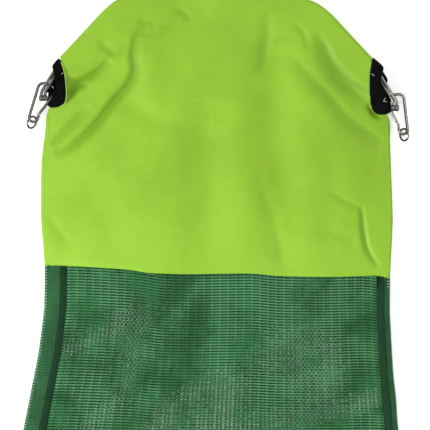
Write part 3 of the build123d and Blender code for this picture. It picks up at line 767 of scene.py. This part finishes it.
def front_cloth():
    """The front upper cloth."""
    wire_z = sum(corner.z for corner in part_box("front_wire_sleeve")) / 2
    edges = (SIDE_EDGE, wire_z - 1.5 * MM, wire_z + 1.5 * MM)
    middles = (*FRONT_MIDDLES, wire_z + SLEEVE_RADIUS)
    grid = {"columns": 218, "rows": 200}
    piece = upper_sheet("front_cloth", "front_wire_sleeve", wire_z, 1, edges, middles, **grid)
    dress(piece, "lime_cloth")
    bend(piece)
    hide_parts("front_upper_panel", "front_flap_panel", "front_wire_sleeve", "front_waist_hem")
    return piece


def back_cloth():
    """The back upper cloth, which lies on the ground."""
    wire_z = sum(corner.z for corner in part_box("back_wire_sleeve")) / 2
    middles = (BACK_EDGES[0], BACK_EDGES[0], BACK_EDGES[2])
    height = wire_z + 0.9 * MM
    grid = {"columns": 130, "rows": 100}
    piece = upper_sheet("back_cloth", "back_wire_sleeve", height, -1, BACK_EDGES, middles, **grid)
    dress(piece, "lime_cloth")
    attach(piece, "bag")
    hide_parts("back_upper_panel", "back_wire_sleeve", "back_waist_hem")
    return piece


# ---------------------------------------------------------------- seams and stitches


def swept_strip(name, outer, inner, profile, scales):
    """A closed strip between two curves. The profile has places from 0, outer, to 1, inner, and heights.

    The scales, one per row, make it lower where it goes under something."""
    rows = [
        [a + (b - a) * place + UP * height * scale for place, height in profile]
        for a, b, scale in zip(outer, inner, scales)
    ]
    count = len(profile)
    faces = grid_faces(len(rows), count, closed=True)
    faces.append(list(range(count)))
    faces.append([len(rows) * count - 1 - k for k in range(count)])
    return make_object(name, np.concatenate(rows), faces)


def lens_profile(low, edge, middle, steps):
    """A closed section, from its outer edge over the top to its inner edge and back underneath."""
    places = np.linspace(0, 1, steps)
    top = [(p, edge + (middle - edge) * sin(pi * p) ** 0.6) for p in places]
    under = [(p, low) for p in places[::-1]]
    return top + under


def side_seams():
    """The sewn side seams of the upper cloth, each a rolled edge that flattens under the corner patch."""
    for side, sign in SIDES:
        node = f"{side}_side_seam"
        low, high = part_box(node)
        ys = np.linspace(low.y + HEM_HALF_WIDTH, high.y - 1 * MM, 90)
        outer = np.array([(outer_x(node, y, sign), y, 0) for y in ys])
        inner = outer - np.array([sign * SEAM_WIDTH, 0, 0])
        outer[:, 0] += ripples(outer, 11, 0.03, 0.15 * MM)
        lower = 0.3 + 0.7 * np.clip((high.y - ys) / (12 * MM), 0, 1) ** 0.7
        profile = lens_profile(low=0.5 * MM, edge=1.9 * MM, middle=4.2 * MM, steps=9)
        piece = swept_strip(node + "_roll", outer, inner, profile, lower)
        dress(piece, "lime_cloth")
        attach(piece, "bag")
        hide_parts(node)


def curve_length(curve):
    """The length of a curve through its points."""
    return np.linalg.norm(np.diff(curve, axis=0), axis=1).sum()


def surface_heights(piece, xys):
    """The height of a piece's top surface at each place."""
    evaluated = piece.evaluated_get(bpy.context.evaluated_depsgraph_get())
    heights = []
    for x, y in xys:
        hit, place, _, _ = evaluated.ray_cast(Vector((x, y, 0.1)), Vector((0, 0, -1)))
        heights.append(place.z if hit else 0.0)
    return np.array(heights)


def hem_stitches(cloth):
    """The row of separate stitches that holds the hem at the waist."""
    line = waist_line(400)[6:-6]
    line[:, 1] += HEM_STITCHES
    line[:, 2] = surface_heights(cloth, line[:, :2])
    total = curve_length(line)
    count = int(total / STITCH_PITCH)
    paths = []
    for k in range(count):
        start = k / count
        end = start + STITCH_LENGTH / total
        if end > 1:
            continue
        stitch = spaced(line, np.linspace(start, end, 4))
        stitch[:, 2] += 0.15 * MM * np.array([-0.6, 1.0, 1.0, -0.6])
        paths.append(stitch)
    piece = tubes("waist_stitches", paths, radius=0.22 * MM, sides=5)
    dress(piece, "lime_thread")
    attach(piece, "bag")


# ---------------------------------------------------------------- knitted mesh


def mesh_edges(vs):
    """The left and right edges of the mesh, from the waist, at 0, to the foot, at 1."""
    curves = []
    for side, sign in SIDES:
        node = f"{side}_mesh_band"
        low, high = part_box(node)
        top, foot = high.y + WAIST_OVERLAP, low.y - FOOT_OVERLAP
        curve = []
        for y in top + (foot - top) * vs:
            if y > low.y + 0.5 * MM:
                x = outer_x(node, min(y, high.y - 4.0 * MM), sign)
            else:
                x = outer_x("foot_seam", min(y, low.y - 0.5 * MM), sign)
            hidden = y > high.y + 3.0 * MM or y < low.y
            curve.append((x - sign * (1.0 * MM if hidden else 0.0), y, 0.0))
        curves.append(np.array(curve))
    return curves


def cell_faces(across, along):
    """The faces round the hole of each cell, four to a cell.

    The points are the knots between the cells, then every hole's first corner, its second, and so on."""
    first = (across + 1) * (along + 1)
    faces = []
    for cell in range(across * along):
        knot = cell + cell // across
        outer = [knot, knot + 1, knot + across + 2, knot + across + 1]
        inner = [first + k * across * along + cell for k in range(4)]
        for k in range(4):
            n = (k + 1) % 4
            faces.append((outer[k], outer[n], inner[n], inner[k]))
    return faces


def net(name, outline, cells, hole, sag, drift):
    """A knitted net as one sheet with a hole in each cell.

    The rows wave a little and stray by the drift, and each hole is moved and sized a little at random."""
    bottom, top, left, right = outline
    across, along = cells

    def surface(u, v):
        """The points of the net at these places, from 0 to 1 each way, as a list."""
        corners = (bottom[0], bottom[-1], top[0], top[-1])
        edges = (sampled(bottom, u), sampled(top, u), sampled(left, v), sampled(right, v))
        flat = fill(corners, *edges, u, v).reshape(-1, 3)
        flat[:, 2] += sag(u.ravel(), v.ravel(), flat)
        flat[:, 1] += ripples(flat, 27, 0.15, drift) * np.sin(pi * np.clip(v.ravel(), 0, 1)) ** 0.5
        return flat

    def cell_counts(u, v):
        """The UV map, which counts cells."""
        return np.stack([u * across, v * along], -1).reshape(-1, 2)

    fine_u, fine_v = np.meshgrid(np.linspace(0, 1, across + 1), np.linspace(0, 1, along + 1))
    wave = 0.12 / along * np.cos(pi * np.arange(across + 1))
    wave[0] = wave[-1] = 0
    rim = np.clip(np.minimum(fine_v, 1 - fine_v) * along, 0, 1)
    points, uvs = [surface(fine_u, fine_v + wave * rim)], [cell_counts(fine_u, fine_v)]
    rng = np.random.default_rng(19)
    column, row = np.meshgrid(np.arange(across), np.arange(along))
    lean = np.where(row % 2 == 0, 0.07, -0.07)
    centre_u = (column + 0.5 + lean + rng.uniform(-0.04, 0.04, row.shape)) / across
    centre_v = (row + 0.5 + rng.uniform(-0.04, 0.04, row.shape)) / along
    half_u = hole[0] * rng.uniform(0.85, 1.1, row.shape) / 2 / across
    half_v = hole[1] * rng.uniform(0.8, 1.15, row.shape) / 2 / along
    for side_u, side_v in ((-1, -1), (1, -1), (1, 1), (-1, 1)):
        u, v = centre_u + side_u * half_u, centre_v + side_v * half_v
        points.append(surface(u, v))
        uvs.append(cell_counts(u, v))
    piece = make_object(name, np.concatenate(points), cell_faces(across, along))
    set_uv(piece, np.concatenate(uvs))
    thicken(piece, YARN, 0.0)
    return piece


def net_outline(heights, overlap):
    """The bottom, top, left and right edges of a net, with the heights at its sides, waist and foot."""
    us = np.linspace(0, 1, 60)
    left, right = (edge[::-1] for edge in mesh_edges(us))
    left[:, 0] += BAND_WIDTHS["left"] - NET_OVERLAP
    right[:, 0] -= BAND_WIDTHS["right"] - NET_OVERLAP
    foot_low, foot_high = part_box("foot_seam")
    seam_y = outer_y("foot_seam", (foot_low.x + foot_high.x) / 2, 1) - NET_OVERLAP
    for edge in (left, right):
        stretch = (edge[:, 1] - edge[-1, 1]) / (edge[0, 1] - edge[-1, 1])
        edge[:, 1] -= (edge[0, 1] - seam_y) * stretch
        edge[:, 2] = np.interp(edge[:, 1], [seam_y + 4 * MM, seam_y + 20 * MM], [heights[2], heights[0]])
    bottom = left[0] + (right[0] - left[0]) * us[:, None]
    bottom[:, 2] = heights[2]
    top = waist_line(len(us))
    top[:, 1] += overlap
    top[:, 0] = left[-1, 0] + (right[-1, 0] - left[-1, 0]) * us
    top[:, 2] = arch_height(us, heights[0], heights[1])
    left[:, 1] += (top[0, 1] - left[-1, 1]) * us
    right[:, 1] += (top[-1, 1] - right[-1, 1]) * us
    return bottom, top, left, right


def edge_fade(u, v):
    """How freely a mesh panel waves: 0 at its sides and waist, and 1 well inside."""
    return np.clip(np.minimum(u, 1 - u) / 0.06, 0, 1) * np.clip((1 - v) / 0.08, 0, 1)


def front_sag(u, v, points):
    """The swell and the soft waves of the front mesh."""
    swell = np.sin(pi * np.clip(v, 0, 1)) ** 0.8 * (1 - np.abs(2 * u - 1) ** 3)
    wide = np.sin(points[:, 0] / 0.034 + 0.8) * 0.5
    narrow = np.sin(points[:, 0] / 0.021 + points[:, 1] / 0.09) * 0.35
    waves = (wide + narrow) * 0.9 * MM + ripples(points, 21, 0.06, 0.3 * MM)
    return 3.0 * MM * swell + waves * edge_fade(u, v)


def back_sag(u, v, points):
    """The back mesh lies flat, with hardly a ripple."""
    return np.abs(ripples(points, 23, 0.09, 0.3 * MM)) * edge_fade(u, v)


def mesh_panels():
    """The front and back of the knitted lower."""
    outline = net_outline(FRONT_NET_HEIGHTS, WAIST_OVERLAP)
    front = net("front_net", outline, FRONT_CELLS, FRONT_HOLE, front_sag, 0.0)
    dress(front, "green_mesh")
    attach(front, "bag")
    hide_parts("front_mesh_panel")
    outline = net_outline(BACK_NET_HEIGHTS, BACK_OVERLAP)
    back = net("back_net", outline, BACK_CELLS, BACK_HOLE, back_sag, BACK_DRIFT)
    dress(back, "shaded_green_mesh_back")
    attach(back, "bag")
    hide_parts("back_mesh_panel")


def bands():
    """The folded bands down both sides of the mesh, with painted shade over the inner fold, and an overlocked
    edge.
    """
    vs = np.linspace(0, 1, 150)
    curves = mesh_edges(vs)
    for (side, sign), outer in zip(SIDES, curves):
        node = f"{side}_mesh_band"
        width = BAND_WIDTHS[side]
        low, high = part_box(node)
        inner = outer - np.array([sign * width, 0, 0])
        profile = lens_profile(low=0.5 * MM, edge=2.6 * MM, middle=5.6 * MM, steps=13)
        outer[:, 0] += ripples(outer, 31, 0.04, 0.25 * MM)
        at_waist = np.clip((high.y - outer[:, 1]) / (14 * MM), 0, 1)
        at_foot = np.clip((outer[:, 1] - low.y + 1 * MM) / (9 * MM), 0, 1)
        lower = 0.3 + 0.7 * np.minimum(at_waist, at_foot) ** 0.7
        piece = swept_strip(f"{side}_band", outer, inner, profile, lower)
        places = np.tile([place * width / MM for place, _ in profile], len(outer))
        set_uv(piece, np.stack([places, np.zeros(len(places))], 1))
        dress(piece, f"{side}_mesh_edge")
        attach(piece, "bag")
        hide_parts(node)
        overlock(f"{side}_overlock", outer[outer[:, 1] > low.y], np.array([-sign, 0.0, 0.0]))


def overlock(name, edge, inward):
    """Overlock stitches round an edge: one slanting loop over it at each pitch."""
    # each loop from its inner end, over the edge and under it: how far in, how much slant, and how high
    loop = [
        (3.4 * MM, 1.0, OVERLOCK_HEIGHT + 0.5 * MM),
        (1.6 * MM, 0.6, OVERLOCK_HEIGHT),
        (-0.2 * MM, 0.2, OVERLOCK_HEIGHT * 0.8),
        (-0.5 * MM, 0.0, OVERLOCK_HEIGHT * 0.45),
        (0.4 * MM, 0.0, 0.35 * MM),
    ]
    count = int(curve_length(edge) / OVERLOCK_PITCH)
    paths = []
    for k in range(count):
        place, ahead = spaced(edge, [k / count, (k + 0.35) / count])
        step = ahead - place
        paths.append([place + inward * reach + step * slant + UP * up for reach, slant, up in loop])
    piece = tubes(name, paths, radius=0.48 * MM, sides=5)
    dress(piece, "green_thread")
    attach(piece, "bag")


def foot_band():
    """The seam across the foot of the bag, with its rounded corners."""
    low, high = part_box("foot_seam")
    xs = low.x + (high.x - low.x) * (1 - np.cos(np.linspace(0.06, pi - 0.06, 160))) / 2
    outer = np.array([(x, outer_y("foot_seam", x, -1), 0) for x in xs])
    inner = np.array([(x, outer_y("foot_seam", x, 1), 0) for x in xs])
    profile = lens_profile(low=0.5 * MM, edge=2.8 * MM, middle=5.6 * MM, steps=11)[::-1]
    piece = swept_strip("foot_band", outer, inner, profile, np.ones(len(xs)))
    set_uv(piece, np.zeros((len(piece.data.vertices), 2)))
    dress(piece, "foot_mesh_edge")
    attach(piece, "bag")
    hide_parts("foot_seam")
    overlock("foot_overlock", outer, np.array([0.0, 1.0, 0.0]))


# ---------------------------------------------------------------- corner patches and straps


def patch(name, outline, heights, crown, thickness, drop):
    """A black patch with the given outline, as rings of points round its middle.

    heights gives its height at each y. Its middle stands a crown above that, and its rim a drop below."""
    loop = [(x, y, 0) for x, y in outline]
    curve = rounded(loop + loop[:1], 97)[:-1] * MM
    middle = curve.mean(axis=0)
    rows = []
    for k in range(PATCH_RINGS, 0, -1):
        share = (k / PATCH_RINGS) ** 0.75
        row = middle + (curve - middle) * share
        rim = max(0.0, share - PATCH_RIM) / (1 - PATCH_RIM)
        row[:, 2] = heights(row[:, 1]) + crown * (1 - share**2) - drop * rim
        rows.append(row)
    points = np.vstack(rows + [[middle[0], middle[1], heights(middle[1]) + crown]])
    count = len(curve)
    faces = grid_faces(PATCH_RINGS, count, closed=True)
    last = (PATCH_RINGS - 1) * count
    faces += [(last + k, last + (k + 1) % count, len(points) - 1) for k in range(count)]
    piece = make_object(name, points, faces)
    thicken(piece, thickness, -1.0)
    bevel = piece.modifiers.new("soft_rim", "BEVEL")
    bevel.width = 0.4 * MM
    bevel.segments = 2
    bevel.limit_method = "ANGLE"
    settle(piece)
    dress(piece, "black_webbing")
    return piece, curve


def front_height(y):
    """The height of the front patches' edge at y."""
    return np.interp(y, np.array(PATCH_YS) * MM, np.array(PATCH_HEIGHTS) * MM)


def back_height(y):
    """The height of the back patches, which lie flat under the cloth."""
    return np.full_like(y, UNDER_PATCH_HEIGHT)


def under_patch(side):
    """The part of a patch that lies behind the cloth."""
    outline = BACK_PATCHES[side]
    sizes = {"crown": 0.3 * MM, "thickness": 1.0 * MM, "drop": 0.6 * MM}
    piece, curve = patch(f"{side}_under_patch", outline, back_height, **sizes)
    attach(piece, "bag")
    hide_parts(f"{side}_back_patch")


def patch_edging(side, sign, curve, cloth):
    """The thin lime edge between a patch and the cloth."""
    inner = curve[np.sign(curve[:, 0] - curve[:, 0].mean()) == -sign]
    inner = inner[np.argsort(inner[:, 1])][:-4]
    inner = inner + np.array([-sign * 0.5 * MM, 0, 0])
    above_cloth = surface_heights(cloth, inner[:, :2]) + 0.1 * MM
    inner[:, 2] = np.maximum(front_height(inner[:, 1]) - 0.4 * MM, above_cloth)
    edging = tubes(f"{side}_patch_edging", [rounded(inner[::3], 60)], radius=0.4 * MM, sides=8)
    dress(edging, "lime_thread")
    bend(edging)


def patch_stitches(side, front, cloth):
    """A patch's few loose white stitches, each an arch over the patch and the cloth."""
    paths = []
    for start, end in PATCH_STITCHES[side]:
        ends = np.array([(*start, 0), (*end, 0)]) * MM
        stitch = ends[0] + (ends[1] - ends[0]) * np.linspace(0, 1, 6)[:, None]
        arch = np.array([-0.2, 0.3, 0.6, 0.6, 0.3, -0.2]) * MM
        below = np.maximum(surface_heights(front, stitch[:, :2]), surface_heights(cloth, stitch[:, :2]))
        stitch[:, 2] = below + arch
        paths.append(stitch)
    loose = tubes(f"{side}_patch_stitches", paths, radius=0.3 * MM, sides=6)
    dress(loose, "white_thread")
    bend(loose)


def corner_patches(cloth):
    """The black patches at both corners of the mouth."""
    for side, sign in SIDES:
        outline = FRONT_PATCHES[side]
        sizes = {"crown": 1.2 * MM, "thickness": 1.4 * MM, "drop": 1.3 * MM}
        front, curve = patch(f"{side}_corner_patch", outline, front_height, **sizes)
        bend(front)
        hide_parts(f"{side}_front_patch", f"{side}_side_patch")
        under_patch(side)
        patch_edging(side, sign, curve, cloth)
        patch_stitches(side, front, cloth)


def straps():
    """The short webbing loops that hold the hooks: each a flat band round a rectangle with round corners."""
    section = [(-1, -1), (-0.5, -1), (0.5, -1), (1, -1), (1, 1), (0.5, 1), (-0.5, 1), (-1, 1)]
    bend_radius = STRAP_CORNER - 0.6 * MM
    for side, _ in SIDES:
        node = f"{side}_hook_strap"
        low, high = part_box(node)
        middle, half = (low + high) / 2, (high - low) / 2
        rows = []
        for quarter, (cx, cz) in enumerate(((1, 1), (-1, 1), (-1, -1), (1, -1))):
            for step in range(6):
                turn = radians(90 * quarter + 18 * step)
                x = middle.x + cx * (half.x - STRAP_CORNER) + bend_radius * cos(turn)
                z = middle.z + cz * (half.z - STRAP_CORNER) + bend_radius * sin(turn)
                half_width = half.y * (0.96 + 0.04 * cos(3 * cos(turn)))
                rows.append([
                    (
                        x + cos(turn) * out * STRAP_HALF_THICKNESS,
                        middle.y + across * half_width,
                        z + sin(turn) * out * STRAP_HALF_THICKNESS,
                    )
                    for across, out in section
                ])
        count = len(section)
        faces = grid_faces(len(rows), count, closed=True)
        last = (len(rows) - 1) * count
        faces += [(last + k, last + (k + 1) % count, (k + 1) % count, k) for k in range(count)]
        piece = make_object(f"{side}_strap_loop", np.concatenate(rows), faces)
        dress(piece, "black_webbing")
        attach(piece, "bag")
        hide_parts(node)


# ---------------------------------------------------------------- floor, lights and camera


def floor():
    """A plain pale floor."""
    x, z = FLOOR_SIZE, FLOOR_HEIGHT
    points = [(-x, -x, z), (x, -x, z), (x, x, z), (-x, x, z)]
    piece = make_object("floor", points, [(0, 1, 2, 3)], smooth=False)
    piece.data.materials.append(paper_floor())


def area_light(name, place, size, power):
    """A square soft light at a place, turned towards the bag."""
    data = bpy.data.lights.new(name, "AREA")
    data.size = size
    data.energy = power
    light = bpy.data.objects.new(name, data)
    light.location = place
    direction = Vector(LIGHT_AIM) - Vector(place)
    light.rotation_euler = direction.to_track_quat("-Z", "Y").to_euler()
    bpy.context.scene.collection.objects.link(light)


def sky():
    """A pale sky, which lights the bag from all round."""
    world = bpy.data.worlds.new("sky")
    world.use_nodes = True
    nodes, links = world.node_tree.nodes, world.node_tree.links
    background = nodes["Background"]
    background.inputs["Strength"].default_value = SKY_STRENGTH
    height = nodes.new("ShaderNodeSeparateXYZ")
    links.new(nodes.new("ShaderNodeTexCoord").outputs["Generated"], height.inputs["Vector"])
    ramp = nodes.new("ShaderNodeValToRGB")
    links.new(height.outputs["Z"], ramp.inputs["Fac"])
    for place, _ in SKY[2:]:
        ramp.color_ramp.elements.new(place)
    for element, (place, level) in zip(ramp.color_ramp.elements, SKY):
        element.position = place
        element.color = (level, level, level, 1.0)
    links.new(ramp.outputs["Color"], background.inputs["Color"])
    bpy.context.scene.world = world


def lights():
    """Soft studio light: a large key from the left and the foot, a weak fill from the right, and the sky."""
    area_light("key", place=(-2.7, -1.35, 1.9), size=1.5, power=118.0)
    area_light("fill", place=(1.3, 0.9, 1.9), size=1.8, power=12.0)
    sky()
    bpy.context.scene.view_settings.view_transform = "Standard"


def camera():
    """The camera looks straight down on the bag through a long lens."""
    data = bpy.data.cameras.new("camera")
    data.lens = CAMERA_LENS
    data.sensor_width = SENSOR
    data.clip_end = 100.0
    view = bpy.data.objects.new("camera", data)
    view.location = (*CAMERA_AIM, CAMERA_HEIGHT)
    bpy.context.scene.collection.objects.link(view)
    bpy.context.scene.camera = view


# ---------------------------------------------------------------- the bag

camera()
floor()
lights()
dress_cad_nodes()
cloth = front_cloth()
back_cloth()
side_seams()
hem_stitches(cloth)
mesh_panels()
bands()
foot_band()
corner_patches(cloth)
straps()
